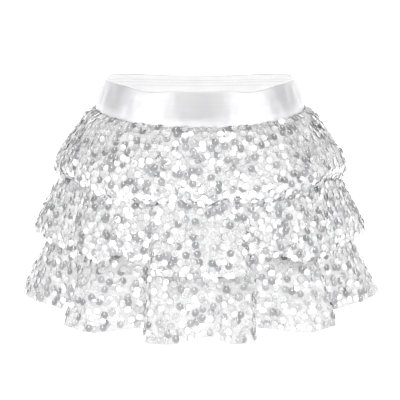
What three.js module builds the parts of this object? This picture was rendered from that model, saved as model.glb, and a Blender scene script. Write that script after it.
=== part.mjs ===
// A latin dance skirt in its worn shape, hollow and open at waist and hem.
// A foil-knit waistband carries a plain knit underskirt,
// and three sequinned ruffles hang from it one below the other.
// Each of these is cut as a front and a back, and the two meet at the side seams.
// Units are millimetres and +Z is up. The front faces -Y, and +X is on the right of someone facing it.
// The origin is the centre of the waistband, half way up, where the wearer's waist holds the skirt.

import * as THREE from "three";

// Sizes of the body that the skirt is cut for
const depthToWidth = 0.8; // a ring's depth, front to back, for each unit of its width

// Sizes of the making
const foilKnitWall = 2.0; // the waistband's folded double layer
const sequinClothWall = 1.5;
const underskirtWall = 1.2;
const seamHalfAngle = 0.11; // degrees left free at each side of a side seam

// Sizes of the steps
const shareNearby = 0.004; // share of a piece's length, and
const angleNearby = 0.36; // degrees, over which it is found which way a surface faces
const finePerStep = 12; // trial steps along a hem for each step of the finished wall
const bendLength = 9; // mm of hem that a bend of one radian counts for when steps are shared out

// Outlines at the side of the body, from the top down: height z, and half of the skirt's width there
const waistbandOutline = [
  { z: 18.0, halfWidth: 102.0 },
  { z: 9.0, halfWidth: 105.3 },
  { z: 0.0, halfWidth: 108.7 },
  { z: -9.0, halfWidth: 111.4 },
  { z: -18.0, halfWidth: 112.6 },
];
const underskirtOutline = [
  { z: -18.4, halfWidth: 112.0 },
  { z: -45.0, halfWidth: 126.0 },
  { z: -72.0, halfWidth: 138.2 },
  { z: -105.0, halfWidth: 142.6 },
  { z: -146.0, halfWidth: 146.0 },
];
const upperRuffleOutline = [
  { z: -15.0, halfWidth: 114.2 },
  { z: -21.0, halfWidth: 123.0 },
  { z: -34.0, halfWidth: 132.4 },
  { z: -48.0, halfWidth: 143.2 },
  { z: -62.0, halfWidth: 152.0 },
  { z: -76.0, halfWidth: 158.0 },
  { z: -87.5, halfWidth: 156.4 },
];
const middleRuffleOutline = [
  { z: -72.0, halfWidth: 140.5 },
  { z: -84.0, halfWidth: 147.4 },
  { z: -98.0, halfWidth: 156.0 },
  { z: -116.0, halfWidth: 166.2 },
  { z: -133.0, halfWidth: 175.6 },
  { z: -149.0, halfWidth: 184.0 },
];
const lowerRuffleOutline = [
  { z: -132.0, halfWidth: 147.5 },
  { z: -146.0, halfWidth: 156.4 },
  { z: -164.0, halfWidth: 167.6 },
  { z: -183.0, halfWidth: 178.4 },
  { z: -202.0, halfWidth: 188.4 },
  { z: -220.0, halfWidth: 197.4 },
];

// How far each edge hangs below its height at the sides: at the middle of the front, and of the back
const topEdgeSag = { front: 2.0, back: 12.0 };
const waistSeamSag = { front: 4.4, back: 8.0 };
const upperHemSag = { front: 3.0, back: 6.0 };
const middleHemSag = { front: 11.0, back: 7.0 };
const lowerHemSag = { front: 8.0, back: 6.0 };

// Folds, each a hollow that runs down the cloth and is deepest at the hem
// at: degrees round the body from the middle of the front, positive towards +X
// left, right: degrees from the middle of the hollow to its edges, towards smaller and larger angles
// depth: how far in it goes at the hem, in mm
// lean: degrees that its floor is pushed sideways, under the cloth beside it
// lift: how much higher the edge is there, in mm
// start: share of the cloth's length where the hollow begins
const waistbandWaves = [
  { at: -32, left: 22, right: 20, depth: 0.0, lean: 0, lift: -3.0, start: 1 },
  { at: 32, left: 20, right: 22, depth: 0.0, lean: 0, lift: -3.0, start: 1 },
];
const upperRuffleFolds = [
  { at: -64, left: 16, right: 12, depth: 5.0, lean: 1.5, lift: 8.5, start: 0.2 },
  { at: -52, left: 9, right: 9, depth: 6.0, lean: 1.5, lift: 5.5, start: 0.1 },
  { at: -31, left: 10, right: 9, depth: 3.0, lean: -1.0, lift: -2.5, start: 0.3 },
  { at: -11, left: 9, right: 10, depth: 4.6, lean: 1.5, lift: 1.0, start: 0.2 },
  { at: 12, left: 11, right: 9, depth: 4.2, lean: -1.5, lift: 1.5, start: 0.15 },
  { at: 32, left: 9, right: 10, depth: 3.2, lean: 1.0, lift: -2.5, start: 0.35 },
  { at: 52, left: 9, right: 9, depth: 5.8, lean: -1.5, lift: 5.0, start: 0.1 },
  { at: 64, left: 12, right: 16, depth: 5.0, lean: -1.5, lift: 8.5, start: 0.2 },
  { at: 106, left: 14, right: 10, depth: 5.2, lean: 1.5, lift: 0.5, start: 0.15 },
  { at: 133, left: 12, right: 13, depth: 5.6, lean: -1.5, lift: 2.0, start: 0.2 },
  { at: 158, left: 11, right: 9, depth: 3.8, lean: 1.0, lift: -1.5, start: 0.3 },
  { at: 181, left: 11, right: 12, depth: 5.4, lean: 1.5, lift: 1.5, start: 0.1 },
  { at: 204, left: 10, right: 10, depth: 3.6, lean: -1.0, lift: -1.0, start: 0.25 },
  { at: 229, left: 13, right: 11, depth: 5.8, lean: 1.5, lift: 2.0, start: 0.15 },
  { at: 255, left: 12, right: 14, depth: 4.8, lean: -1.5, lift: 1.0, start: 0.2 },
];
const middleRuffleFolds = [
  { at: -60, left: 29, right: 12, depth: 17.0, lean: 3.0, lift: -2.0, start: 0.05 },
  { at: -41, left: 12, right: 13, depth: 2.0, lean: 0.0, lift: 6.0, start: 0.3 },
  { at: -28, left: 8, right: 6.5, depth: 10.0, lean: -1.0, lift: 14.0, start: 0.15 },
  { at: -21, left: 7, right: 7, depth: 13.0, lean: 3.0, lift: 14.0, start: 0.05 },
  { at: -1, left: 9, right: 10, depth: 7.0, lean: -1.5, lift: -1.0, start: 0.3 },
  { at: 21, left: 7, right: 7, depth: 13.0, lean: -3.0, lift: 13.5, start: 0.05 },
  { at: 28, left: 6.5, right: 8, depth: 10.0, lean: 1.0, lift: 14.0, start: 0.15 },
  { at: 41, left: 13, right: 12, depth: 2.5, lean: 0.0, lift: 5.5, start: 0.3 },
  { at: 60, left: 12, right: 29, depth: 16.5, lean: -3.0, lift: -2.0, start: 0.05 },
  { at: 109, left: 12, right: 12, depth: 15.0, lean: 2.5, lift: 1.5, start: 0.1 },
  { at: 135, left: 11, right: 12, depth: 13.5, lean: -2.0, lift: 3.0, start: 0.05 },
  { at: 160, left: 10, right: 10, depth: 16.5, lean: 2.5, lift: 1.0, start: 0.1 },
  { at: 184, left: 11, right: 10, depth: 11.0, lean: -1.5, lift: 2.5, start: 0.2 },
  { at: 207, left: 10, right: 12, depth: 16.0, lean: 2.5, lift: 0.5, start: 0.05 },
  { at: 231, left: 11, right: 10, depth: 12.5, lean: -2.5, lift: 3.0, start: 0.15 },
  { at: 254, left: 10, right: 12, depth: 15.0, lean: 2.0, lift: 1.0, start: 0.1 },
];
const lowerRuffleFolds = [
  { at: -55, left: 31, right: 10, depth: 31.0, lean: 4.0, lift: 0.0, start: 0.05 },
  { at: -25, left: 12, right: 10, depth: 37.0, lean: 4.0, lift: 0.0, start: 0.05 },
  { at: 1, left: 12, right: 10, depth: 23.0, lean: 2.0, lift: 1.0, start: 0.2 },
  { at: 25, left: 10, right: 12, depth: 37.0, lean: -4.0, lift: 0.0, start: 0.05 },
  { at: 55, left: 10, right: 31, depth: 31.0, lean: -4.0, lift: 0.0, start: 0.05 },
  { at: 106, left: 12, right: 13, depth: 27.0, lean: 3.0, lift: 1.0, start: 0.15 },
  { at: 132, left: 12, right: 12, depth: 33.0, lean: -4.0, lift: 0.0, start: 0.05 },
  { at: 157, left: 11, right: 12, depth: 25.0, lean: 3.0, lift: 2.0, start: 0.15 },
  { at: 182, left: 12, right: 12, depth: 35.0, lean: 4.0, lift: 0.0, start: 0.05 },
  { at: 207, left: 11, right: 12, depth: 24.0, lean: -3.0, lift: 2.0, start: 0.2 },
  { at: 231, left: 12, right: 12, depth: 33.0, lean: 4.0, lift: 0.0, start: 0.05 },
  { at: 256, left: 12, right: 12, depth: 26.0, lean: -3.0, lift: 1.0, start: 0.15 },
];

const foilKnit = new THREE.MeshStandardMaterial({ color: 0xe6e7e9, roughness: 0.28, metalness: 0.85 });
const sequinCloth = new THREE.MeshStandardMaterial({ color: 0xe3e3e4, roughness: 0.35, metalness: 0.55 });
const plainKnit = new THREE.MeshStandardMaterial({ color: 0xf2f2f1, roughness: 0.85, metalness: 0.0 });

// around and down are the numbers of steps in which one half of the piece is made
const pieces = [
  {
    name: "waistband",
    outline: waistbandOutline,
    folds: waistbandWaves,
    topSag: topEdgeSag,
    hemSag: waistSeamSag,
    wall: foilKnitWall,
    material: foilKnit,
    around: 32,
    down: 4,
  },
  {
    name: "underskirt",
    outline: underskirtOutline,
    folds: [],
    topSag: waistSeamSag,
    hemSag: waistSeamSag,
    wall: underskirtWall,
    material: plainKnit,
    around: 30,
    down: 4,
  },
  {
    name: "upper_ruffle",
    outline: upperRuffleOutline,
    folds: upperRuffleFolds,
    topSag: waistSeamSag,
    hemSag: upperHemSag,
    wall: sequinClothWall,
    material: sequinCloth,
    around: 52,
    down: 6,
  },
  {
    name: "middle_ruffle",
    outline: middleRuffleOutline,
    folds: middleRuffleFolds,
    topSag: waistSeamSag,
    hemSag: middleHemSag,
    wall: sequinClothWall,
    material: sequinCloth,
    around: 70,
    down: 5,
  },
  {
    name: "lower_ruffle",
    outline: lowerRuffleOutline,
    folds: lowerRuffleFolds,
    topSag: waistSeamSag,
    hemSag: lowerHemSag,
    wall: sequinClothWall,
    material: sequinCloth,
    around: 84,
    down: 5,
  },
];

// The two halves of every piece, by the degrees that each covers
const halves = [
  { name: "front", from: -90, to: 90 },
  { name: "back", from: 90, to: 270 },
];

const radians = THREE.MathUtils.degToRad;

// How far an angle lies past the middle of a fold, in degrees from -180 to 180
function degreesPast(angle, middle) {
  return THREE.MathUtils.euclideanModulo(angle - middle + 180, 360) - 180;
}

// 1 on the floor of a fold, falling smoothly to 0 at its edges
function foldShare(fold, angle) {
  const past = degreesPast(angle, fold.at);
  const reach = past < 0 ? fold.left : fold.right;
  const share = Math.min(1, Math.abs(past) / reach);
  return (1 + Math.cos(Math.PI * share)) / 2;
}

// How far an edge hangs below its height at the sides
function sagAt(sag, angle) {
  const forward = Math.cos(radians(angle));
  return forward > 0 ? sag.front * forward ** 2 : sag.back * forward ** 2;
}

// The point on a piece's outer face at an angle round the body and a share of the way from its top to its hem
function clothPoint(piece, angle, share) {
  const place = piece.curve.getPoint(share);
  let inward = 0;
  let turn = 0;
  let lift = 0;
  for (const fold of piece.folds) {
    const weight = foldShare(fold, angle);
    if (fold.start < 1) {
      const grown = Math.max(0, (share - fold.start) / (1 - fold.start));
      inward += fold.depth * weight * grown;
      turn += fold.lean * weight * grown;
      lift += fold.lift * weight * grown;
    } else {
      lift += fold.lift * weight * (1 - share);
    }
  }
  const round = radians(angle + turn);
  const across = place.x;
  const deep = place.x * depthToWidth;
  const facing = new THREE.Vector2(deep * Math.sin(round), -across * Math.cos(round)).normalize();
  const sag = THREE.MathUtils.lerp(sagAt(piece.topSag, angle), sagAt(piece.hemSag, angle), share);
  return new THREE.Vector3(
    across * Math.sin(round) - facing.x * inward,
    -deep * Math.cos(round) - facing.y * inward,
    place.y - sag + lift,
  );
}

// The same point moved in through the cloth by the wall's thickness
function innerPoint(piece, angle, share) {
  const low = Math.max(0, share - shareNearby);
  const high = Math.min(1, share + shareNearby);
  const down = clothPoint(piece, angle, high).sub(clothPoint(piece, angle, low));
  const before = clothPoint(piece, angle - angleNearby, share);
  const along = clothPoint(piece, angle + angleNearby, share).sub(before);
  const outward = down.cross(along).normalize();
  return clothPoint(piece, angle, share).addScaledVector(outward, -piece.wall);
}

// Angles from one side seam to the other, closer together where the hem bends
function anglesAround(piece, half) {
  const fine = piece.around * finePerStep;
  const first = half.from + seamHalfAngle;
  const last = half.to - seamHalfAngle;
  const angleAt = (step) => THREE.MathUtils.lerp(first, last, step / fine);
  const points = [];
  for (let step = 0; step <= fine; step += 1) {
    points.push(clothPoint(piece, angleAt(step), 1));
  }
  const travelled = [0];
  for (let step = 1; step <= fine; step += 1) {
    const here = points[step].clone().sub(points[step - 1]);
    const before = points[Math.max(1, step - 1)].clone().sub(points[Math.max(1, step - 1) - 1]);
    travelled.push(travelled[step - 1] + here.length() + bendLength * here.angleTo(before));
  }
  const angles = [];
  let step = 0;
  for (let index = 0; index <= piece.around; index += 1) {
    const wanted = (travelled[fine] * index) / piece.around;
    while (step < fine - 1 && travelled[step + 1] < wanted) step += 1;
    const part = (wanted - travelled[step]) / (travelled[step + 1] - travelled[step]);
    angles.push(angleAt(step + THREE.MathUtils.clamp(part, 0, 1)));
  }
  return angles;
}

// A closed wall of cloth: an outer and an inner face, joined round all four edges
function clothWall(piece, half) {
  const angles = anglesAround(piece, half);
  const rows = piece.down + 1;
  const columns = angles.length;
  const positions = [];
  for (const pointAt of [clothPoint, innerPoint]) {
    for (const angle of angles) {
      for (let row = 0; row < rows; row += 1) {
        positions.push(pointAt(piece, angle, row / piece.down));
      }
    }
  }
  const outer = (column, row) => column * rows + row;
  const inner = (column, row) => columns * rows + outer(column, row);
  const faces = [];
  // Splits a four-cornered face along its shorter diagonal
  const addFace = (a, b, c, d) => {
    const first = positions[a].distanceTo(positions[c]);
    const second = positions[b].distanceTo(positions[d]);
    if (first <= second) faces.push(a, b, c, a, c, d);
    else faces.push(a, b, d, b, c, d);
  };
  for (let column = 0; column < columns - 1; column += 1) {
    const next = column + 1;
    for (let row = 0; row < piece.down; row += 1) {
      addFace(outer(column, row), outer(column, row + 1), outer(next, row + 1), outer(next, row));
      addFace(inner(column, row), inner(next, row), inner(next, row + 1), inner(column, row + 1));
    }
    addFace(outer(column, 0), outer(next, 0), inner(next, 0), inner(column, 0));
    addFace(
      outer(column, piece.down),
      inner(column, piece.down),
      inner(next, piece.down),
      outer(next, piece.down),
    );
  }
  const end = columns - 1;
  for (let row = 0; row < piece.down; row += 1) {
    addFace(outer(0, row), inner(0, row), inner(0, row + 1), outer(0, row + 1));
    addFace(outer(end, row), outer(end, row + 1), inner(end, row + 1), inner(end, row));
  }
  const geometry = new THREE.BufferGeometry().setFromPoints(positions);
  geometry.setIndex(faces);
  geometry.computeVertexNormals();
  return geometry;
}

const skirt = new THREE.Group();
for (const piece of pieces) {
  piece.curve = new THREE.SplineCurve(piece.outline.map((row) => new THREE.Vector2(row.halfWidth, row.z)));
  for (const half of halves) {
    const mesh = new THREE.Mesh(clothWall(piece, half), piece.material);
    mesh.name = `${piece.name}_${half.name}`;
    skirt.add(mesh);
  }
}

export default skirt;
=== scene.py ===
import math

import bmesh
import bpy
import numpy as np
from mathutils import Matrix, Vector


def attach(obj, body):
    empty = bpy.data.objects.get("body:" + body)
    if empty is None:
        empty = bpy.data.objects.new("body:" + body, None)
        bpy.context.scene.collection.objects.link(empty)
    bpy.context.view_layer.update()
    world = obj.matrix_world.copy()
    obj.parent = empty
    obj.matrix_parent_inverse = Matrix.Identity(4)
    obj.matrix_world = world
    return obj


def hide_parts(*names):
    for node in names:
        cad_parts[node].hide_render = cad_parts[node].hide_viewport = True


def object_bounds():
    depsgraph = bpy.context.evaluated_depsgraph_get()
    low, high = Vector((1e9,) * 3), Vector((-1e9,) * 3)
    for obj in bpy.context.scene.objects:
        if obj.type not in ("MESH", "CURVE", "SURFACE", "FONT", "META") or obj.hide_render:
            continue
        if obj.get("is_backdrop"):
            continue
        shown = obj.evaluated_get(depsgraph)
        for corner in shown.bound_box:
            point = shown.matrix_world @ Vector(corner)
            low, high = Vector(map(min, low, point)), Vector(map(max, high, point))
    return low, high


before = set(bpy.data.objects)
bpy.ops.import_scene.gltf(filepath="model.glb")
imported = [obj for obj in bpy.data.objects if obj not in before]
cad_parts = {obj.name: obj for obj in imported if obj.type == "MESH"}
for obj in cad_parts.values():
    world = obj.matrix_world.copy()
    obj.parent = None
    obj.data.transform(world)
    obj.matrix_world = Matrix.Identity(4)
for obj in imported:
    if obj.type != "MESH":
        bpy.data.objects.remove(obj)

cadLow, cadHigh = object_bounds()
mm = 0.001
chance = np.random.default_rng(7)

# Camera and studio
cameraSetup = {
    "lookAt": (0.0, 0.0, -0.11845),
    "distance": 1.35,
    "elevation": 15,
    "lens": 110.45,
}
studio = {
    "floorHeight": -0.86,
    "floorRadius": 30,
    "floorColour": (0.93, 0.93, 0.93, 1),
    "floorRoughness": 0.9,
    "floorGlow": 0.8,
    "roomTones": ((0.36, 0.48), (0.45, 0.78), (0.54, 0.91), (0.66, 1.18)),  # share of the noise, brightness
    "roomScale": 2.6,
    "roomDetail": 0.5,
    # bands of the room that differ, from its front (-1) to its back (1): place, half width, brightness
    "gaps": ((0.12, 0.40, 0.57), (-1.0, 0.26, 0.36), (0.90, 0.50, 1.45)),
    "gapCore": 0.1,  # share of the half width that has the full brightness
    # name, power, width, height, place
    "boxes": (
        ("boxLeft", 5.6, 1.4, 1.4, (-1.65, -1.5, 0.5)),
        ("boxRight", 5.6, 1.4, 1.4, (1.65, -1.5, 0.5)),
        ("boxLow", 10, 2.4, 0.6, (0.0, -1.75, -0.7)),
        ("boxAbove", 8, 1.8, 1.2, (0.0, -1.2, 1.7)),
        ("boxRearLeft", 4, 1.2, 1.2, (-2.0, 1.0, 0.3)),
        ("boxRearRight", 4, 1.2, 1.2, (2.0, 1.0, 0.3)),
        ("boxBehind", 5, 1.4, 1.2, (0.0, 2.2, 0.6))),
    "unreflected": ("boxRearLeft", "boxRearRight"),  # they only lift the flanks
}


def makeCamera(setup):
    tilt = math.radians(setup["elevation"])
    back = Vector((0, -math.cos(tilt), math.sin(tilt)))
    data = bpy.data.cameras.new("camera")
    data.lens = setup["lens"]
    camera = bpy.data.objects.new("camera", data)
    camera.location = Vector(setup["lookAt"]) + back * setup["distance"]
    camera.rotation_euler = (-back).to_track_quat("-Z", "Y").to_euler()
    bpy.context.scene.collection.objects.link(camera)
    bpy.context.scene.camera = camera


def newMaterial(name):
    material = bpy.data.materials.new(name)
    material.use_nodes = True
    return material, material.node_tree, material.node_tree.nodes["Principled BSDF"]


# Nodes that more than one material needs. A value is a socket to link, or a number.
def mathNode(tree, operation, *values):
    node = tree.nodes.new("ShaderNodeMath")
    node.operation = operation
    for socket, value in zip(node.inputs, values):
        if isinstance(value, bpy.types.NodeSocket):
            tree.links.new(value, socket)
        else:
            socket.default_value = value
    return node.outputs[0]


def noiseNode(tree, vector, scale, detail=2):
    node = tree.nodes.new("ShaderNodeTexNoise")
    node.inputs["Scale"].default_value = scale
    node.inputs["Detail"].default_value = detail
    tree.links.new(vector, node.inputs["Vector"])
    return node


def rampNode(tree, value, stops):
    node = tree.nodes.new("ShaderNodeValToRGB")
    elements = node.color_ramp.elements
    for _ in stops[2:]:
        elements.new(0.5)
    for element, (position, colour) in zip(elements, stops):
        element.position, element.color = position, colour
    tree.links.new(value, node.inputs["Fac"])
    return node


def rangeNode(tree, value, fromSpan, toSpan):
    node = tree.nodes.new("ShaderNodeMapRange")
    node.inputs["From Min"].default_value, node.inputs["From Max"].default_value = fromSpan
    node.inputs["To Min"].default_value, node.inputs["To Max"].default_value = toSpan
    tree.links.new(value, node.inputs["Value"])
    return node


def multiplied(tree, first, second):
    node = tree.nodes.new("ShaderNodeMix")
    node.data_type, node.blend_type = "RGBA", "MULTIPLY"
    node.inputs["Factor"].default_value = 1
    tree.links.new(first, node.inputs["A"])
    tree.links.new(second, node.inputs["B"])
    return node.outputs["Result"]


def bumpInto(shader, tree, height, strength, distance):
    bump = tree.nodes.new("ShaderNodeBump")
    bump.inputs["Strength"].default_value = strength
    bump.inputs["Distance"].default_value = distance
    tree.links.new(height, bump.inputs["Height"])
    tree.links.new(bump.outputs["Normal"], shader.inputs["Normal"])


def makeFloor(setup):
    bm = bmesh.new()
    bmesh.ops.create_circle(bm, cap_ends=True, segments=64, radius=setup["floorRadius"])
    bmesh.ops.translate(bm, verts=bm.verts, vec=(0, 0, setup["floorHeight"]))
    mesh = bpy.data.meshes.new("floor")
    bm.to_mesh(mesh)
    bm.free()
    floor = bpy.data.objects.new("floor", mesh)
    bpy.context.scene.collection.objects.link(floor)
    material, _, shader = newMaterial("paleFloor")
    shader.inputs["Base Color"].default_value = setup["floorColour"]
    shader.inputs["Roughness"].default_value = setup["floorRoughness"]
    shader.inputs["Emission Color"].default_value = (1, 1, 1, 1)
    shader.inputs["Emission Strength"].default_value = setup["floorGlow"]
    mesh.materials.append(material)
    floor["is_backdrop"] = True


def makeLamps(setup):
    for name, power, width, height, place in setup["boxes"]:
        light = bpy.data.lights.new(name, "AREA")
        light.energy = power
        light.shape = "RECTANGLE"
        light.size = width
        light.size_y = height
        lamp = bpy.data.objects.new(name, light)
        lamp.location = place
        lamp.visible_camera = False
        lamp.visible_glossy = name not in setup["unreflected"]
        facing = Vector(place) - Vector(cameraSetup["lookAt"])
        lamp.rotation_euler = facing.to_track_quat("Z", "Y").to_euler()
        bpy.context.scene.collection.objects.link(lamp)


def makeRoom(setup):
    # pale walls of uneven brightness, the same on the left and right, which the foil and sequins reflect
    world = bpy.data.worlds.new("studio")
    bpy.context.scene.world = world
    world.use_nodes = True
    tree = world.node_tree
    nodes, links = tree.nodes, tree.links
    place = nodes.new("ShaderNodeTexCoord")
    axes = nodes.new("ShaderNodeSeparateXYZ")
    links.new(place.outputs["Generated"], axes.inputs[0])
    mirrored = nodes.new("ShaderNodeCombineXYZ")
    links.new(mathNode(tree, "ABSOLUTE", axes.outputs["X"]), mirrored.inputs["X"])
    links.new(axes.outputs["Y"], mirrored.inputs["Y"])
    links.new(axes.outputs["Z"], mirrored.inputs["Z"])
    walls = noiseNode(tree, mirrored.outputs[0], setup["roomScale"], setup["roomDetail"])
    stops = [(share, (tone, tone, tone, 1)) for share, tone in setup["roomTones"]]
    room = rampNode(tree, walls.outputs["Fac"], stops)
    room.color_ramp.interpolation = "EASE"
    tone = room.outputs["Color"]
    for at, reach, gapTone in setup["gaps"]:
        past = mathNode(tree, "ABSOLUTE", mathNode(tree, "SUBTRACT", axes.outputs["Y"], at))
        gap = rangeNode(tree, past, (reach * setup["gapCore"], reach), (gapTone, 1))
        gap.interpolation_type = "SMOOTHSTEP"
        tone = multiplied(tree, tone, gap.outputs["Result"])
    seen = nodes.new("ShaderNodeLightPath")
    pick = nodes.new("ShaderNodeMix")
    pick.data_type = "RGBA"
    pick.inputs["B"].default_value = (1, 1, 1, 1)
    links.new(seen.outputs["Is Camera Ray"], pick.inputs["Factor"])
    links.new(tone, pick.inputs["A"])
    links.new(pick.outputs["Result"], nodes["Background"].inputs["Color"])
    bpy.context.scene.view_settings.view_transform = "Standard"


makeCamera(cameraSetup)
makeFloor(studio)
makeLamps(studio)
makeRoom(studio)
print("camera and studio ready")

# The cloth. Lengths are in mm, angles in degrees round the body from the middle of the front.
# outline: height and half width down the side of the body, from the piece's top edge to its hem
# topSag, hemSag: how far that edge hangs below its sides, at the middle of the front and of the back
# folds: place, reach to the left and right, depth, lean in degrees, lift of the hem, share where it starts
# creases: place, slant, the shares of the way down where it starts and ends, width in degrees, depth
# walls: thickness of the cloth and of its hem
# steps: of the cloth's grid, along the hem and down
depthToWidth = 0.8
waistSeamSag = (4.4, 8.0)
hemHeight = 3.6  # how much of a piece's lower edge is as thick as its hem

waistband = {
    "name": "waistband",
    "curl": 0,
    "fold": (0.35, 1.65),  # how far in the outer layer and the inner one lie
    "foldRows": 7,
    "tuck": 0,
    "gathers": 0,
    "gatherDepth": 0,
    "crumple": 0.12,
    "outline": ((18.0, 102.0), (9.0, 105.3), (0.0, 108.7), (-9.0, 111.4), (-18.0, 112.6)),
    "topSag": (2.0, 12.0),
    "hemSag": waistSeamSag,
    "folds": ((-32, 22, 20, 0, 0, -3, 1), (32, 20, 22, 0, 0, -3, 1)),
    "creases": (
        (-80, 3, 0.0, 0.8, 2.2, 0.7), (-72, -3, 0.2, 1.0, 2.6, 0.6), (-60, 2, 0.0, 0.5, 3.0, 0.4),
        (-44, -2, 0.45, 1.0, 3.5, 0.3), (47, 2, 0.4, 1.0, 3.4, 0.3), (62, -3, 0.0, 0.6, 2.8, 0.4),
        (74, 4, 0.1, 0.9, 2.4, 0.7), (82, -2, 0.0, 0.7, 2.0, 0.8), (104, 3, 0.2, 1.0, 2.6, 0.6),
        (131, -3, 0.0, 0.7, 3.4, 0.4), (168, 2, 0.3, 1.0, 4.0, 0.3), (203, -2, 0.0, 0.6, 3.6, 0.4),
        (236, 3, 0.3, 1.0, 3.0, 0.5), (258, -3, 0.0, 0.8, 2.4, 0.7)),
    "walls": (0.7, 0.7),
    "steps": (120, 12),
    "stitchLines": (5.5, 8.5, 12.5),  # mm down from the top edge, on the inside
    "stitchInside": 2.05,
}
underskirt = {
    "name": "underskirt",
    "curl": 0,
    "tuck": 0,
    "gathers": 0,
    "gatherDepth": 0,
    "crumple": 0.2,
    "outline": ((-18.4, 112.0), (-45.0, 126.0), (-72.0, 138.2), (-105.0, 142.6), (-146.0, 146.0)),
    "topSag": waistSeamSag,
    "hemSag": waistSeamSag,
    "folds": (),
    "creases": (
        (-66, 4, 0.3, 1.0, 3.0, 0.8), (-30, -3, 0.5, 1.0, 4.0, 0.7), (14, 4, 0.4, 1.0, 3.4, 0.8),
        (55, -4, 0.3, 1.0, 3.2, 0.7), (112, 3, 0.5, 1.0, 3.6, 0.8), (150, -3, 0.3, 1.0, 3.0, 0.7),
        (196, 4, 0.5, 1.0, 4.0, 0.8), (240, -3, 0.4, 1.0, 3.2, 0.7)),
    "walls": (0.9, 1.1),
    "steps": (96, 24),
    "stitchShares": (0.43, 0.9),  # where the ruffles are sewn on, as shares of the way down
    "stitchInside": 1.15,
}
upperRuffle = {
    "name": "upper_ruffle",
    "hemGap": 1.8,
    "sequinPitch": (6.8, 7.2),
    "curl": 3.0,
    "tuck": 1.5,
    "gathers": 96,
    "gatherDepth": 0.5,
    "crumple": 0.28,
    "outline": (
        (-15.0, 114.2), (-21.0, 123.0), (-34.0, 132.4), (-48.0, 143.2), (-62.0, 152.0), (-76.0, 158.0),
        (-87.5, 156.4)),
    "topSag": waistSeamSag,
    "hemSag": (3.0, 6.0),
    "folds": (
        (-64, 16, 12, 5.0, 1.5, 8.5, 0.2), (-52, 9, 9, 6.0, 1.5, 5.5, 0.1),
        (-31, 10, 9, 3.0, -1.0, -2.5, 0.3), (-11, 9, 10, 4.6, 1.5, 1.0, 0.2),
        (12, 11, 9, 4.2, -1.5, 1.5, 0.15), (32, 9, 10, 3.2, 1.0, -2.5, 0.35),
        (52, 9, 9, 5.8, -1.5, 5.0, 0.1), (64, 12, 16, 5.0, -1.5, 8.5, 0.2),
        (106, 14, 10, 5.2, 1.5, 0.5, 0.15), (133, 12, 13, 5.6, -1.5, 2.0, 0.2),
        (158, 11, 9, 3.8, 1.0, -1.5, 0.3), (181, 11, 12, 5.4, 1.5, 1.5, 0.1),
        (204, 10, 10, 3.6, -1.0, -1.0, 0.25), (229, 13, 11, 5.8, 1.5, 2.0, 0.15),
        (255, 12, 14, 4.8, -1.5, 1.0, 0.2)),
    "creases": (
        (-76, 5, 0.35, 0.95, 1.8, 1.8), (-58, -4, 0.2, 0.8, 2.0, 2.2), (-41, 3, 0.5, 1.0, 2.2, 1.4),
        (-20, -3, 0.3, 0.8, 2.4, 1.2), (2, 3, 0.45, 1.0, 2.6, 1.3), (23, 4, 0.25, 0.7, 2.2, 1.2),
        (42, -4, 0.5, 1.0, 2.0, 1.5), (59, 4, 0.2, 0.8, 2.0, 2.2), (77, -5, 0.3, 0.95, 1.8, 1.8),
        (98, 4, 0.3, 0.9, 2.0, 1.6), (121, -3, 0.2, 0.7, 2.4, 1.8), (146, 4, 0.5, 1.0, 2.2, 1.4),
        (170, -4, 0.3, 0.9, 2.0, 1.6), (192, 3, 0.2, 0.8, 2.4, 1.5), (217, -3, 0.4, 1.0, 2.2, 1.7),
        (243, 4, 0.25, 0.85, 2.0, 1.6), (262, -4, 0.4, 1.0, 1.8, 1.4)),
    "walls": (0.7, 1.0),
    "steps": (190, 26),
}
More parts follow.
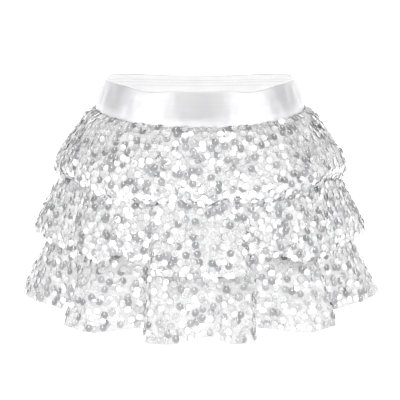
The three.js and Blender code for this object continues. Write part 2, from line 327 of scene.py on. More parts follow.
middleRuffle = {
    "name": "middle_ruffle",
    "hemGap": 1.8,
    "sequinPitch": (6.9, 7.4),
    "curl": 2.8,
    "tuck": 0.6,
    "gathers": 110,
    "gatherDepth": 0.5,
    "crumple": 0.3,
    "outline": (
        (-72.0, 140.5), (-84.0, 147.4), (-98.0, 156.0), (-116.0, 166.2), (-133.0, 175.6),
        (-149.0, 184.0)),
    "topSag": waistSeamSag,
    "hemSag": (11.0, 7.0),
    "folds": (
        (-60, 29, 12, 17.0, 3.0, -2.0, 0.05), (-41, 12, 13, 2.0, 0.0, 6.0, 0.3),
        (-28, 8, 6.5, 10.0, -1.0, 14.0, 0.15), (-21, 7, 7, 13.0, 3.0, 14.0, 0.05),
        (-1, 9, 10, 7.0, -1.5, -1.0, 0.3), (21, 7, 7, 13.0, -3.0, 13.5, 0.05),
        (28, 6.5, 8, 10.0, 1.0, 14.0, 0.15), (41, 13, 12, 2.5, 0.0, 5.5, 0.3),
        (60, 12, 29, 16.5, -3.0, -2.0, 0.05), (109, 12, 12, 15.0, 2.5, 1.5, 0.1),
        (135, 11, 12, 13.5, -2.0, 3.0, 0.05), (160, 10, 10, 16.5, 2.5, 1.0, 0.1),
        (184, 11, 10, 11.0, -1.5, 2.5, 0.2), (207, 10, 12, 16.0, 2.5, 0.5, 0.05),
        (231, 11, 10, 12.5, -2.5, 3.0, 0.15), (254, 10, 12, 15.0, 2.0, 1.0, 0.1)),
    "creases": (
        (-80, 3, 0.3, 1.0, 2.0, 1.6), (-68, -4, 0.2, 0.8, 2.2, 2.0), (-49, 3, 0.3, 1.0, 1.8, 1.8),
        (-36, -3, 0.35, 1.0, 2.0, 1.6), (-9, 2, 0.3, 0.9, 2.2, 1.3), (8, -2, 0.4, 1.0, 2.4, 1.4),
        (35, 3, 0.3, 1.0, 2.0, 1.6), (49, -3, 0.35, 1.0, 1.8, 1.8), (69, 4, 0.2, 0.8, 2.2, 2.0),
        (80, -3, 0.3, 1.0, 2.0, 1.5), (98, 3, 0.4, 1.0, 2.0, 1.6), (122, -3, 0.2, 0.9, 2.2, 1.8),
        (147, 3, 0.4, 1.0, 2.0, 1.5), (172, -3, 0.3, 0.9, 2.2, 1.7), (195, 3, 0.3, 1.0, 2.0, 1.6),
        (219, -3, 0.2, 0.8, 2.4, 1.6), (243, 3, 0.4, 1.0, 2.0, 1.7), (263, -3, 0.3, 0.9, 2.0, 1.5)),
    "walls": (0.7, 1.0),
    "steps": (230, 26),
}
lowerRuffle = {
    "name": "lower_ruffle",
    "hemGap": 4.2,
    "sequinPitch": (7.4, 8.2),
    "curl": 0.4,
    "tuck": 0.6,
    "gathers": 118,
    "gatherDepth": 0.5,
    "crumple": 0.3,
    "outline": (
        (-132.0, 147.5), (-146.0, 156.4), (-164.0, 167.6), (-183.0, 178.4), (-202.0, 188.4),
        (-220.0, 197.4)),
    "topSag": waistSeamSag,
    "hemSag": (8.0, 6.0),
    "folds": (
        (-55, 31, 10, 31.0, 4.0, 0.0, 0.05), (-25, 12, 10, 37.0, 4.0, 0.0, 0.05),
        (1, 12, 10, 23.0, 2.0, 1.0, 0.2), (25, 10, 12, 37.0, -4.0, 0.0, 0.05),
        (55, 10, 31, 31.0, -4.0, 0.0, 0.05), (106, 12, 13, 27.0, 3.0, 1.0, 0.15),
        (132, 12, 12, 33.0, -4.0, 0.0, 0.05), (157, 11, 12, 25.0, 3.0, 2.0, 0.15),
        (182, 12, 12, 35.0, 4.0, 0.0, 0.05), (207, 11, 12, 24.0, -3.0, 2.0, 0.2),
        (231, 12, 12, 33.0, 4.0, 0.0, 0.05), (256, 12, 12, 26.0, -3.0, 1.0, 0.15)),
    "creases": (
        (-78, 3, 0.3, 1.0, 2.0, 1.6), (-66, -3, 0.4, 1.0, 2.2, 1.8), (-43, 2, 0.3, 1.0, 1.8, 1.8),
        (-36, -2, 0.4, 1.0, 2.0, 1.5), (-12, 2, 0.3, 1.0, 1.8, 1.6), (12, -2, 0.35, 1.0, 1.8, 1.6),
        (37, 2, 0.4, 1.0, 2.0, 1.5), (43, -2, 0.3, 1.0, 1.8, 1.8), (67, 3, 0.4, 1.0, 2.2, 1.8),
        (79, -3, 0.3, 1.0, 2.0, 1.6), (95, 3, 0.4, 1.0, 2.0, 1.5), (119, -3, 0.3, 1.0, 2.0, 1.7),
        (144, 3, 0.4, 1.0, 2.0, 1.5), (170, -3, 0.3, 1.0, 2.2, 1.6), (194, 3, 0.35, 1.0, 2.0, 1.7),
        (219, -3, 0.4, 1.0, 2.0, 1.5), (244, 3, 0.3, 1.0, 2.0, 1.6), (264, -3, 0.4, 1.0, 2.0, 1.4)),
    "walls": (0.7, 1.0),
    "steps": (260, 26),
}
ruffles = (upperRuffle, middleRuffle, lowerRuffle)
halves = (("front", -90, 90), ("back", 90, 270))  # name, and the degrees from and to

creaseForm = {
    "end": 1.12,      # share of a crease's length where it has run out
    "ease": 4,        # how fast it starts and runs out
    "ridge": 0.45,    # height of the ridge beside it, for its depth
    "ridgeAt": 2.2,   # how many widths away that ridge lies
}
smallForm = {
    "tuckEnd": 0.05,       # the cloth comes out from under its seam above this share of the way down
    "drift": ((0.5, 5, 1.3), (0.35, 13, 4.1)),  # waves that space the gathers unevenly: size, number, start
    "driftReach": 2.2,
    "uneven": (0.3, 9, 0.7),  # and that make some shallower
    "gatherFade": 5.5,
    "gatherStart": 30,
    # pairs of waves whose product crumples the cloth: size, then number round, number down and start of each
    "crumple": (
        (1, (23, 7, 1.1), (-17, 11, 0)),
        (0.6, (41, -13, 0.4), (29, 19, 2.0)),
        (0.4, (67, 31, 0), (-59, 27, 0))),
    "crumpleStart": 6,
    "curlFrom": 0.8,       # share of the way down where a hem begins to curl in
    "curlSpan": 0.2,
    "seamAt": 110,         # half width of the skirt where the side seams are
    "seamWidth": 1.3,
    "seamDepth": 0.5,
}


def outlineAt(piece, shares):
    # a smooth curve through the outline's rows: height and half width at shares of the way down
    rows = np.array(piece["outline"])
    last = len(rows) - 1
    step = np.clip(np.floor(shares * last), 0, last - 1).astype(int)
    t = (shares * last - step)[:, None]
    before, here, there, after = (rows[np.clip(step + k, 0, last)] for k in (-1, 0, 1, 2))
    slopeHere, slopeThere = (there - before) / 2, (after - here) / 2
    return (
        (2 * here - 2 * there + slopeHere + slopeThere) * t**3
        + (3 * there - 3 * here - 2 * slopeHere - slopeThere) * t**2
        + slopeHere * t
        + here
    ).T


def sagAt(sag, angles):
    forward = np.cos(np.radians(angles))
    return np.where(forward > 0, sag[0], sag[1]) * forward**2


def degreesPast(angles, at):
    return (angles - at + 180) % 360 - 180


def creaseDepth(piece, angles, shares, form):
    depth = np.zeros_like(angles)
    for at, slant, top, bottom, width, deep in piece["creases"]:
        way = (shares - top) / (bottom - top)
        past = degreesPast(angles - at, slant * (way - 0.5))
        fade = np.clip(np.minimum(way, form["end"] - way) * form["ease"], 0, 1)
        fade = fade * fade * (3 - 2 * fade)
        valley = np.exp(-((past / width) ** 2))
        ridge = np.exp(-(((past - form["ridgeAt"] * width) / width) ** 2))
        depth += deep * fade * (valley - form["ridge"] * ridge)
    return depth


def smallForms(piece, angles, shares, form):
    # how far in the cloth lies where it is tucked under its seam, gathered, crumpled, curled or sewn
    around = np.radians(angles)
    tucked = piece["tuck"] * np.clip(1 - shares / form["tuckEnd"], 0, 1) ** 2
    drift = sum(size * np.sin(number * around + start) for size, number, start in form["drift"])
    size, number, start = form["uneven"]
    pleat = np.sin(piece["gathers"] * around + form["driftReach"] * drift)
    pleat = pleat * (1 - size + size * np.sin(number * around + start))
    gathered = piece["gatherDepth"] * (1 - pleat) * np.exp(-shares * form["gatherFade"])
    gathered = gathered * np.clip(shares * form["gatherStart"], 0, 1)
    crumple = sum(
        size * np.sin(a * around + b * shares + c) * np.sin(d * around + e * shares + f)
        for size, (a, b, c), (d, e, f) in form["crumple"])
    crumpled = piece["crumple"] * (1 + crumple) * np.clip(shares * form["crumpleStart"], 0, 1)
    curled = piece["curl"] * np.clip((shares - form["curlFrom"]) / form["curlSpan"], 0, 1) ** 2
    seam = form["seamDepth"] * np.exp(-((np.cos(around) * form["seamAt"] / form["seamWidth"]) ** 2))
    return tucked + curled + gathered + crumpled + seam


def clothPoints(piece, angles, shares, inside=0.0):
    # points on a piece's outer face, or inside mm in from it
    height, halfWidth = outlineAt(piece, shares)
    inward, turn, lift = (np.zeros_like(angles) for _ in range(3))
    for at, left, right, depth, lean, raised, start in piece["folds"]:
        past = degreesPast(angles, at)
        weight = (1 + np.cos(np.pi * np.minimum(1, abs(past) / np.where(past < 0, left, right)))) / 2
        grown = np.clip((shares - start) / (1 - start), 0, 1) if start < 1 else 1 - shares
        inward += depth * weight * grown
        turn += lean * weight * grown
        lift += raised * weight * grown
    inward += (
        creaseDepth(piece, angles, shares, creaseForm)
        + smallForms(piece, angles, shares, smallForm)
        + inside)
    spin = np.radians(angles + turn)
    deep = halfWidth * depthToWidth
    facing = np.stack([deep * np.sin(spin), -halfWidth * np.cos(spin)])
    facing /= np.linalg.norm(facing, axis=0)
    sag = sagAt(piece["topSag"], angles) * (1 - shares) + sagAt(piece["hemSag"], angles) * shares
    return np.stack([
        halfWidth * np.sin(spin) - facing[0] * inward,
        -deep * np.cos(spin) - facing[1] * inward,
        height - sag + lift,
    ], axis=1) * mm


def unit(rows):
    return rows / np.linalg.norm(rows, axis=1)[:, None]


def clothNormals(piece, angles, shares, nearShare=0.01, nearAngle=0.3):
    above = clothPoints(piece, angles, np.maximum(0, shares - nearShare))
    down = clothPoints(piece, angles, np.minimum(1, shares + nearShare)) - above
    along = clothPoints(piece, angles + nearAngle, shares) - clothPoints(piece, angles - nearAngle, shares)
    return unit(np.cross(down, along)), unit(along)


def lengthAlong(points):
    # the way run at each point of a line
    return np.concatenate([[0], np.cumsum(np.linalg.norm(np.diff(points, axis=0), axis=1))])


def evenAngles(piece, share, first, last, count, trials=1500):
    # angles whose points are evenly spaced along the cloth at one height, and the cloth's length there
    fine = np.linspace(first, last, trials)
    run = lengthAlong(clothPoints(piece, fine, np.full_like(fine, share)))
    return np.interp(np.linspace(0, run[-1], count), run, fine), run[-1]


def runDown(piece, half, trials):
    # shares of the way down, and how many mm of cloth lie above each at the middle of the half
    _, first, last = half
    fine = np.linspace(0, 1, trials)
    return fine, lengthAlong(clothPoints(piece, np.full(trials, (first + last) / 2.0), fine)) / mm


def newPiece(name, bm, materials):
    mesh = bpy.data.meshes.new(name)
    bm.to_mesh(mesh)
    bm.free()
    piece = bpy.data.objects.new(name, mesh)
    bpy.context.scene.collection.objects.link(piece)
    for material in materials:
        mesh.materials.append(material)
    for face in mesh.polygons:
        face.use_smooth = True
    return piece


def rowsOf(piece):
    # the rows of a cloth from one cut edge to the other: share of the way down, mm in from the outer face,
    # and mm that the row lies lower for the fold's roundness
    _, rows = piece["steps"]
    if "fold" not in piece:
        shares = np.linspace(0, 1, rows + 1)
        return shares, np.zeros_like(shares), np.zeros_like(shares)
    # folded over at the top: up the inside, round the fold and down the outside
    near, far = piece["fold"]
    radius = (far - near) / 2
    turn = np.linspace(0, np.pi, piece["foldRows"] + 2)[1:-1]
    flat = np.linspace(1, 0, rows + 1)
    topRow = radius * (flat == 0)
    down = np.concatenate([flat, np.zeros(len(turn)), flat[::-1]])
    bend = near + radius + radius * np.cos(turn)
    inside = np.concatenate([np.full(rows + 1, far), bend, np.full(rows + 1, near)])
    drop = np.concatenate([topRow, radius * (1 - np.sin(turn)), topRow[::-1]])
    return down, inside, drop


def clothPiece(piece, half, materials):
    # a flat grid of knit, bent to the piece's form and given its thickness
    side, first, last = half
    wall, hemWall = piece["walls"]
    columns, _ = piece["steps"]
    shareOfRow, insideOfRow, dropOfRow = rowsOf(piece)
    rows = len(shareOfRow) - 1
    angles, hemLength = evenAngles(piece, 1.0, first, last, columns + 1)
    _, topLength = evenAngles(piece, 0.0, first, last, columns + 1)
    bm = bmesh.new()
    bmesh.ops.create_grid(bm, x_segments=columns, y_segments=rows, size=0.5)
    bm.verts.index_update()
    across = np.array([round((v.co.x + 0.5) * columns) for v in bm.verts])
    row = np.array([round((0.5 - v.co.y) * rows) for v in bm.verts])
    shares = shareOfRow[row]
    points = clothPoints(piece, angles[across], shares, insideOfRow[row])
    points[:, 2] -= dropOfRow[row] * mm
    middle = clothPoints(piece, np.full(rows + 1, (first + last) / 2.0), shareOfRow, insideOfRow)
    length = np.linalg.norm(np.diff(middle, axis=0), axis=1).sum()
    cut = bm.loops.layers.uv.new("cut")
    width = (topLength + hemLength) / 2
    turnedIn = insideOfRow >= piece["fold"][1] if "fold" in piece else insideOfRow > 0
    for face in bm.faces:
        face.material_index = int(any(turnedIn[row[v.index]] for v in face.verts))
        for loop in face.loops:
            loop[cut].uv = ((loop.vert.co.x + 0.5) * width, (loop.vert.co.y + 0.5) * length)
    for vertex, point in zip(bm.verts, points):
        vertex.co = point
    made = newPiece(piece["name"] + "_" + side + "_cloth", bm, materials)
    hem = made.vertex_groups.new(name="hem")
    for index, share in enumerate(shares):
        hem.add([index], 1.0 if share > 1 - hemHeight * mm / length else wall / hemWall, "REPLACE")
    thicken = made.modifiers.new("wall", "SOLIDIFY")
    thicken.thickness = hemWall * mm
    thicken.offset = 0 if "fold" in piece else -1
    thicken.vertex_group = "hem"
    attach(made, "root")
    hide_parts(piece["name"] + "_" + side)
    surface = sum(f.area for f in made.data.polygons)
    sizes = (round(x, 4) for x in (hemLength, topLength, length, surface))
    print(made.name, "hem, top, down and area:", *sizes)
    return made, (hemLength, length), surface


# Knits
knitWobble = {"scale": 60, "reach": 0.0012}  # how the loops stray from straight rows
loopHeight = 0.0002
loopSpan = (-2, 2)      # the knit's height is the sum of two waves
cloudDetail = 5
noiseSpan = (0.3, 0.7)  # where nearly all of a noise's values lie

foilLook = {
    "streaks": (30, 620, 0.965),  # how fine along the cloth and across it, and the darkest
    "loopsPerMetre": 1100,
    "rowShare": 1.0,
    "waleShare": 0.25,
    "loopShade": 0.975,
    "cloudScale": 24,
    "colours": ((0.735, 0.735, 0.745, 1), (0.80, 0.80, 0.81, 1)),
    "roughness": (0.34, 0.42),
    "bump": 0.1,
    "metallic": 0.9,
    "sheen": 0.0,
}
foilBackLook = {
    "streaks": (24, 420, 0.95),
    "loopsPerMetre": 700,
    "rowShare": 1.0,
    "waleShare": 0.4,
    "loopShade": 0.96,
    "cloudScale": 30,
    "colours": ((0.95, 0.95, 0.95, 1), (0.99, 0.99, 0.99, 1)),
    "roughness": (0.5, 0.7),
    "bump": 0.3,
    "metallic": 0.0,
    "sheen": 0.1,
}
meshLook = {
    "streaks": (400, 500, 0.88),
    "loopsPerMetre": 700,
    "rowShare": 0.8,
    "waleShare": 1.0,
    "loopShade": 0.86,
    "cloudScale": 90,
    "colours": ((0.75, 0.75, 0.76, 1), (0.88, 0.88, 0.88, 1)),
    "roughness": (0.35, 0.6),
    "bump": 0.6,
    "metallic": 0.05,
    "sheen": 0.1,
}
jerseyLook = {
    "streaks": (300, 60, 0.95),
    "loopsPerMetre": 800,
    "rowShare": 0.6,
    "waleShare": 1.0,
    "loopShade": 0.85,
    "cloudScale": 40,
    "colours": ((0.82, 0.82, 0.81, 1), (0.90, 0.90, 0.89, 1)),
    "roughness": (0.78, 0.92),
    "bump": 0.5,
    "metallic": 0.0,
    "sheen": 0.25,
}


def knitGroup():
    # rows and wales of a fine knit, from the cloth's own flat lengths
    group = bpy.data.node_groups.new("knitLoops", "ShaderNodeTree")
    group.interface.new_socket("Cut", in_out="INPUT", socket_type="NodeSocketVector")
    for name, value in (("Loop", 900.0), ("Row Share", 1.0), ("Wale Share", 1.0)):
        socket = group.interface.new_socket(name, in_out="INPUT", socket_type="NodeSocketFloat")
        socket.default_value = value
    group.interface.new_socket("Height", in_out="OUTPUT", socket_type="NodeSocketFloat")
    nodes, links = group.nodes, group.links
    given, made = nodes.new("NodeGroupInput"), nodes.new("NodeGroupOutput")
    wobble = noiseNode(group, given.outputs["Cut"], knitWobble["scale"])
    bend = nodes.new("ShaderNodeVectorMath")
    bend.operation = "MULTIPLY_ADD"
    bend.inputs[1].default_value = (knitWobble["reach"], knitWobble["reach"], 0)
    links.new(wobble.outputs["Color"], bend.inputs[0])
    links.new(given.outputs["Cut"], bend.inputs[2])
    axes = nodes.new("ShaderNodeSeparateXYZ")
    links.new(bend.outputs[0], axes.inputs[0])
    waves = []
    for axis, share in (("X", "Wale Share"), ("Y", "Row Share")):
        loops = mathNode(group, "MULTIPLY", axes.outputs[axis], given.outputs["Loop"])
        wave = mathNode(group, "SINE", mathNode(group, "MULTIPLY", loops, 2 * math.pi))
        waves.append(mathNode(group, "MULTIPLY", wave, given.outputs[share]))
    links.new(mathNode(group, "ADD", *waves), made.inputs["Height"])
    return group


knitLoops = knitGroup()


def knitMaterial(name, look):
    material, tree, shader = newMaterial(name)
    nodes, links = tree.nodes, tree.links
    cut = nodes.new("ShaderNodeUVMap")
    cut.uv_map = "cut"
    knit = nodes.new("ShaderNodeGroup")
    knit.node_tree = knitLoops
    knit.inputs["Loop"].default_value = look["loopsPerMetre"]
    knit.inputs["Row Share"].default_value = look["rowShare"]
    knit.inputs["Wale Share"].default_value = look["waleShare"]
    links.new(cut.outputs["UV"], knit.inputs["Cut"])
    cloud = noiseNode(tree, cut.outputs["UV"], look["cloudScale"], cloudDetail)
    tone = rampNode(tree, cloud.outputs["Fac"], list(zip(noiseSpan, look["colours"])))
    along, across, darkest = look["streaks"]
    stretch = nodes.new("ShaderNodeMapping")
    stretch.inputs["Scale"].default_value = (along, across, 1)
    links.new(cut.outputs["UV"], stretch.inputs["Vector"])
    streak = noiseNode(tree, stretch.outputs["Vector"], 1)
    streakTone = rangeNode(tree, streak.outputs["Fac"], noiseSpan, (darkest, 1))
    shade = rangeNode(tree, knit.outputs["Height"], loopSpan, (look["loopShade"], 1))
    shaded = multiplied(tree, tone.outputs["Color"], shade.outputs["Result"])
    streaked = multiplied(tree, shaded, streakTone.outputs["Result"])
    links.new(streaked, shader.inputs["Base Color"])
    gloss = rangeNode(tree, streak.outputs["Fac"], (0, 1), look["roughness"])
    links.new(gloss.outputs["Result"], shader.inputs["Roughness"])
    bumpInto(shader, tree, knit.outputs["Height"], look["bump"], loopHeight)
    shader.inputs["Metallic"].default_value = look["metallic"]
    shader.inputs["Sheen Weight"].default_value = look["sheen"]
    return material


foilKnit = knitMaterial("foilKnit", foilLook)
foilBack = knitMaterial("foilBack", foilBackLook)
sequinGround = knitMaterial("sequinGround", meshLook)
jersey = knitMaterial("jersey", jerseyLook)
print("knits ready")

# Sequins and threads
filmLook = {
    "hole": (0.26, 0.34),  # the shade round the hole: where it is full, and where it ends
    "holeShade": 0.94,
    # the darker tones are painted reflection: darker copies of the one silver-white film, for sequins that
    # mirror dark surroundings
    "filmAndPaintedReflectionTones": ((0.25, (0.37, 0.37, 0.38, 1)), (0.29, (0.66, 0.66, 0.67, 1)), (0.96, (0.87, 0.87, 0.87, 1))),
    "roughness": (0.36, 0.10),
    "metallic": 0.5,
}
threadLook = {
    "plies": 900,
    "unevenness": 1.5,
    "colours": ((0.88, 0.88, 0.88, 1), (0.97, 0.97, 0.97, 1)),
    "roughness": 0.55,
    "bump": 0.4,
    "plyHeight": 0.00005,
    "sheen": 0.2,
}
# grey thread: its darker grey is partly the thread's own colour and partly painted shade, where its rows on
# the waistband's inside stand for the casing's channels
greyThreadLook = {**threadLook, "colours": ((0.60, 0.60, 0.61, 1), (0.76, 0.76, 0.77, 1)), "roughness": 0.5}


def sequinFilm(look):
    # each sequin has its own tone: the film's own silver-white, or a darker grey that is painted reflection
    # of dark surroundings; and it is a little darker round its hole, painted shade where its knot sits
    material, tree, shader = newMaterial("sequinFilm")
    nodes, links = tree.nodes, tree.links
    disc = nodes.new("ShaderNodeUVMap")
    disc.uv_map = "disc"
    centre = nodes.new("ShaderNodeVectorMath")
    centre.operation = "LENGTH"
    links.new(disc.outputs["UV"], centre.inputs[0])
    # painted shade: the film is a little darker round the hole, where the knot sits
    hole = rangeNode(tree, centre.outputs["Value"], look["hole"], (look["holeShade"], 1))
    # each sequin's tone: the film's colour at the top, painted reflection at the dark end
    tone = nodes.new("ShaderNodeAttribute")
    tone.attribute_name = "tone"
    colour = rampNode(tree, tone.outputs["Fac"], look["filmAndPaintedReflectionTones"])
    shaded = multiplied(tree, colour.outputs["Color"], hole.outputs["Result"])
    links.new(shaded, shader.inputs["Base Color"])
    gloss = rangeNode(tree, tone.outputs["Fac"], (0, 1), look["roughness"])
    links.new(gloss.outputs["Result"], shader.inputs["Roughness"])
    shader.inputs["Metallic"].default_value = look["metallic"]
    return material


def threadMaterial(name, look):
    # spun thread: fine slanted plies in its tone and its height
    material, tree, shader = newMaterial(name)
    place = tree.nodes.new("ShaderNodeTexCoord")
    plies = tree.nodes.new("ShaderNodeTexWave")
    plies.wave_type, plies.bands_direction = "BANDS", "DIAGONAL"
    plies.inputs["Scale"].default_value = look["plies"]
    plies.inputs["Distortion"].default_value = look["unevenness"]
    tree.links.new(place.outputs["Object"], plies.inputs["Vector"])
    tone = rampNode(tree, plies.outputs["Fac"], list(zip((0, 1), look["colours"])))
    tree.links.new(tone.outputs["Color"], shader.inputs["Base Color"])
    bumpInto(shader, tree, plies.outputs["Fac"], look["bump"], look["plyHeight"])
    shader.inputs["Roughness"].default_value = look["roughness"]
    shader.inputs["Sheen Weight"].default_value = look["sheen"]
    return material


film = sequinFilm(filmLook)
thread = threadMaterial("thread", threadLook)
greyThread = threadMaterial("greyThread", greyThreadLook)

sequin = {
    "radius": 3.6,
    "flat": 2.3,         # radius of the flat middle of the cup
    "cup": 0.12,         # how far the rim stands above the middle
    "film": 0.2,
    "sides": 12,
    "holeUp": 1.2,       # the hole lies this far above the middle
    "knot": 0.8,         # radius of the thread's knot in the hole, and of its top
    "knotTop": 0.4,
    "knotSides": 6,
    "knotRise": 0.4,
    "knotSink": 0.02,
    "thread": 0.34,
    "threadFlat": 0.8,   # the thread's thickness for its width
    "stitchRise": (0.22, 0.12),  # how high the stitch lies at the hole, and above the rim
    "pastRim": 0.15,     # where the stitch turns down
    "tail": (1.8, 0.9),  # past the rim the thread goes to the cloth: how far, and how much it drops
    "wander": 0.38,      # how far it strays from its place in the row, for the pitch
    "hemWander": (-0.8, 1.4),  # how the last row strays up and down
    "tilt": 9,           # how far most of them tilt, in degrees
    "mostTilt": 32,
    "hang": 3,           # the lower edge stands off a little more than the upper one
    "sway": 0.45,        # how far it turns on its thread, in radians
    "leastStand": 0.3,
    "tiltStand": 0.9,    # how much of its tilted radius holds it off the cloth
    "lift": 0.7,         # slack of the thread
    "topGap": 3.2,       # bare cloth above the first row
}


def ringOut(bm, edges, radius, rise):
    grown = bmesh.ops.extrude_edge_only(bm, edges=edges)["geom"]
    for vertex in grown:
        if isinstance(vertex, bmesh.types.BMVert):
            away = vertex.co.xy.normalized() * radius * mm
            vertex.co = (away.x, away.y, rise * mm)
    return [g for g in grown if isinstance(g, bmesh.types.BMEdge)]


def pointsAndFaces(bm):
    bm.verts.index_update()
    points = np.array([v.co for v in bm.verts])
    faces = [[v.index for v in f.verts] for f in bm.faces]
    bm.free()
    return points, faces


def sequinTemplate(look):
    # a shallow cup with a flat middle and a plain underside, the thread's knot in it,
    # and the thread's one stitch over the rim
    bm = bmesh.new()
    bmesh.ops.create_circle(bm, cap_ends=True, segments=look["sides"], radius=look["flat"] * mm)
    edge = [e for e in bm.edges if e.is_boundary]
    edge = ringOut(bm, edge, look["radius"], look["cup"])
    edge = ringOut(bm, edge, look["radius"], look["cup"] - look["film"])
    bmesh.ops.contextual_create(bm, geom=edge)
    filmVerts = set(bm.verts)
    filmFaces = len(bm.faces)
    knot = bmesh.ops.create_circle(
        bm, cap_ends=True, segments=look["knotSides"], radius=look["knotTop"] * mm)["verts"]
    bmesh.ops.translate(bm, verts=knot, vec=(0, 0, look["knotRise"] * mm))
    edge = [e for e in bm.edges if e.is_boundary]
    edge = ringOut(bm, edge, look["knot"], -look["knotSink"])
    bmesh.ops.contextual_create(bm, geom=edge)
    knot = [v for v in bm.verts if v not in filmVerts]
    bmesh.ops.translate(bm, verts=knot, vec=(0, look["holeUp"] * mm, 0))
    stitch = bmesh.ops.create_cube(bm, size=1)["verts"]
    atHole, atRim = look["stitchRise"]
    rim = look["radius"] + look["pastRim"]
    for vertex in stitch:
        far = vertex.co.y > 0
        thick = vertex.co.z * look["thread"] * look["threadFlat"]
        vertex.co.x *= look["thread"] * mm
        vertex.co.y = (rim if far else look["holeUp"]) * mm
        vertex.co.z = (thick + (look["cup"] + atRim if far else atHole)) * mm
    sides = {f for v in stitch for f in v.link_faces}
    end = next(f for f in sides if all(v.co.y > look["radius"] * mm for v in f.verts))
    tail = bmesh.ops.extrude_face_region(bm, geom=[end])["geom"]
    bmesh.ops.delete(bm, geom=[end], context="FACES_ONLY")
    end = next(g for g in tail if isinstance(g, bmesh.types.BMFace))
    reach, drop = look["tail"]
    bmesh.ops.translate(bm, verts=end.verts, vec=(0, reach * mm, -drop * mm))
    bmesh.ops.recalc_face_normals(bm, faces=bm.faces)
    points, faces = pointsAndFaces(bm)
    return points, faces, [0 if i < filmFaces else 1 for i in range(len(faces))]


def joinCopies(name, template, turns, places, filmAndPaintedReflectionTones, materials):
    # one mesh of many copies, each turned and put in its place
    points, faces, slots = template
    count, step = len(places), len(points)
    allPoints = (np.einsum("nij,pj->npi", turns, points) + places[:, None, :]).reshape(-1, 3)
    allFaces = [[i + copy * step for i in face] for copy in range(count) for face in faces]
    mesh = bpy.data.meshes.new(name)
    mesh.from_pydata(allPoints.tolist(), [], allFaces)
    # a tone for each copy; on sequins its dark end is painted reflection
    tone = mesh.attributes.new("tone", "FLOAT", "POINT")
    tone.data.foreach_set("value", np.repeat(filmAndPaintedReflectionTones, step).astype(np.float32))
    mesh.polygons.foreach_set("material_index", np.tile(slots, count).astype(np.int32))
    disc = mesh.uv_layers.new(name="disc")
    hole = (0, sequin["holeUp"] / sequin["radius"])
    flat = points[np.concatenate(faces), :2] / (sequin["radius"] * mm) - hole
    disc.data.foreach_set("uv", np.tile(flat, (count, 1)).astype(np.float32).ravel())
    for material in materials:
        mesh.materials.append(material)
    made = bpy.data.objects.new(name, mesh)
    bpy.context.scene.collection.objects.link(made)
    return made


def spotsInRow(piece, half, share, shift, pitch, wander, finer=4):
    # angles of a row of sequins: the first lies a quarter of the pitch, or with its shift three quarters,
    # from the side seam, and each strays a little
    _, first, last = half
    _, length = evenAngles(piece, share, first, last, 2)
    count = int(length / mm / pitch)
    even, _ = evenAngles(piece, share, first, last, finer * count + 1)
    spots = (np.arange(count) + 0.25 + shift + chance.uniform(-1, 1, count) * wander) * finer
    return np.interp(spots, np.arange(finer * count + 1), even), count


def sewSequins(piece, half, look):
    side = half[0]
    fine, run = runDown(piece, half, trials=80)
    lowest = run[-1] - piece["hemGap"]
    rowPitch, pitch = piece["sequinPitch"]
    down = np.linspace(look["topGap"], lowest, int((lowest - look["topGap"]) / rowPitch) + 1)
    angles, shares = [], []
    for row, distance in enumerate(down):
        share = np.interp(distance, run, fine)
        spots, count = spotsInRow(piece, half, share, 0.5 * (row % 2), pitch, look["wander"])
        drop = distance + chance.uniform(-1, 1, count) * look["wander"] * rowPitch
        drop = np.clip(drop, look["topGap"], lowest + chance.uniform(*look["hemWander"], count))
        angles.append(spots)
        shares.append(np.interp(drop, run, fine))
    angles, shares = np.concatenate(angles), np.concatenate(shares)
    count = len(angles)
    points = clothPoints(piece, angles, shares)
    out, along = clothNormals(piece, angles, shares)
    up = np.cross(out, along)
    spin = chance.uniform(0, 2 * np.pi, count)
    tilt = np.radians(np.clip(abs(chance.normal(0, look["tilt"], count)), 0, look["mostTilt"]))
    lean = along * np.cos(spin)[:, None] + up * np.sin(spin)[:, None]
    leaning = out * np.cos(tilt)[:, None] + lean * np.sin(tilt)[:, None]
    normal = unit(leaning + up * math.radians(look["hang"]))
    sway = chance.normal(0, look["sway"], count)
    right = unit(np.cross(up * np.cos(sway)[:, None] + along * np.sin(sway)[:, None], normal))
    stand = np.maximum(look["leastStand"], look["radius"] * np.sin(tilt) * look["tiltStand"])
    stand = stand + chance.uniform(0, look["lift"], count)
    places = points + out * (stand * mm)[:, None]
    # a random tone for each sequin; the darker ones are painted reflection of dark surroundings
    filmAndPaintedReflectionTones = chance.uniform(0, 1, count)
    name = piece["name"] + "_" + side + "_sequins"
    turns = np.stack([right, np.cross(normal, right), normal], axis=2)
    made = joinCopies(name, sequinCup, turns, places, filmAndPaintedReflectionTones, [film, thread])
    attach(made, "root")
    print(name, count, "sequins,", len(made.data.polygons), "faces")
    return made


stitching = {
    "width": 0.45,
    "length": 2.3,
    "pitch": 3.1,
    "rise": 0.12,
    "endWidth": 0.55,   # the thread narrows where it dips into the cloth
    "flatness": 0.6,
    "stray": 0.002,     # how far a stitch lies off its row, as a share of the way down
    "hemAbove": 1.0,    # the hem's row lies this far above its edge
}


def stitchTemplate(look):
    # one stitch: a thread that rises from the cloth and dips into it again
    bm = bmesh.new()
    bmesh.ops.create_cube(bm, size=1)
    long = [e for e in bm.edges if abs(e.verts[0].co.x - e.verts[1].co.x) > 0.5]
    bmesh.ops.subdivide_edges(bm, edges=long, cuts=2, use_grid_fill=True)
    for vertex in bm.verts:
        bow = 1 - (2 * vertex.co.x) ** 2
        narrowed = look["endWidth"] + (1 - look["endWidth"]) * bow
        vertex.co = (
            vertex.co.x * look["length"] * mm,
            vertex.co.y * look["width"] * narrowed * mm,
            (vertex.co.z * look["width"] * look["flatness"] + look["rise"] * (2 * bow - 1)) * mm)
    points, faces = pointsAndFaces(bm)
    return points, faces, [0] * len(faces)


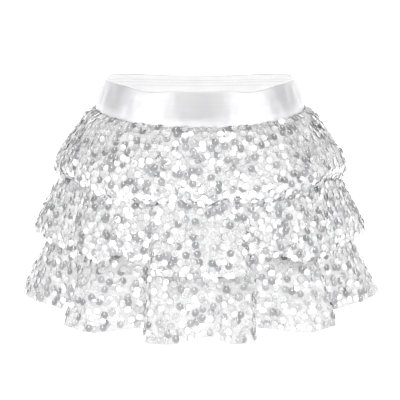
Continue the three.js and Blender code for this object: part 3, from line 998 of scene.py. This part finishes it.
def stitchRow(piece, half, share, inside, look):
    # where the stitches of one row go, and how each is turned
    _, first, last = half
    _, length = evenAngles(piece, share, first, last, 2)
    count = int(length / mm / look["pitch"])
    even, _ = evenAngles(piece, share, first, last, 2 * count + 1)
    angles = even[1::2]
    shares = np.clip(share + chance.normal(0, look["stray"], count), 0, 1)
    out, along = clothNormals(piece, angles, shares)
    if inside > 0:
        out, along = -out, -along
    places = clothPoints(piece, angles, shares, inside)
    return np.stack([along, np.cross(out, along), out], axis=2), places


def sewRows(name, rows, threads):
    turns, places = (np.concatenate(part) for part in zip(*rows))
    made = joinCopies(name, stitchShape, turns, places, np.zeros(len(places)), [threads])
    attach(made, "root")
    print(name, len(places), "stitches")
    return made


def shareAt(piece, half, distance):
    # the share of the way down that lies so many mm from the top edge, or from the hem where it is negative
    fine, run = runDown(piece, half, trials=200)
    return float(np.interp(distance if distance > 0 else run[-1] + distance, run, fine))


sequinCup = sequinTemplate(sequin)
stitchShape = stitchTemplate(stitching)

for half in halves:
    side = half[0]
    made, flat, surface = clothPiece(waistband, half, [foilKnit, foilBack])
    lines = [shareAt(waistband, half, distance) for distance in waistband["stitchLines"]]
    rows = [stitchRow(waistband, half, share, waistband["stitchInside"], stitching) for share in lines]
    # the casing's stitch lines in grey thread, whose darkness is partly painted shade of the casing's
    # channels
    threads = sewRows("waistband_" + side + "_stitches", rows, greyThread)
    made, flat, surface = clothPiece(underskirt, half, [jersey])
    lines = underskirt["stitchShares"]
    rows = [stitchRow(underskirt, half, share, underskirt["stitchInside"], stitching) for share in lines]
    threads = sewRows("underskirt_" + side + "_stitches", rows, thread)
    for ruffle, carrier in zip(ruffles, ("waistband", "underskirt", "underskirt")):
        made, flat, surface = clothPiece(ruffle, half, [sequinGround])
        sequins = sewSequins(ruffle, half, sequin)
        hem = stitchRow(ruffle, half, shareAt(ruffle, half, -stitching["hemAbove"]), 0, stitching)
        threads = sewRows(ruffle["name"] + "_" + side + "_hem_stitches", [hem], greyThread)
print("cloth and sequins made")

low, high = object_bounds()
for name, box in (("solids", (cadLow, cadHigh)), ("scene", (low, high))):
    print(name, *([round(x, 4) for x in corner] for corner in box))
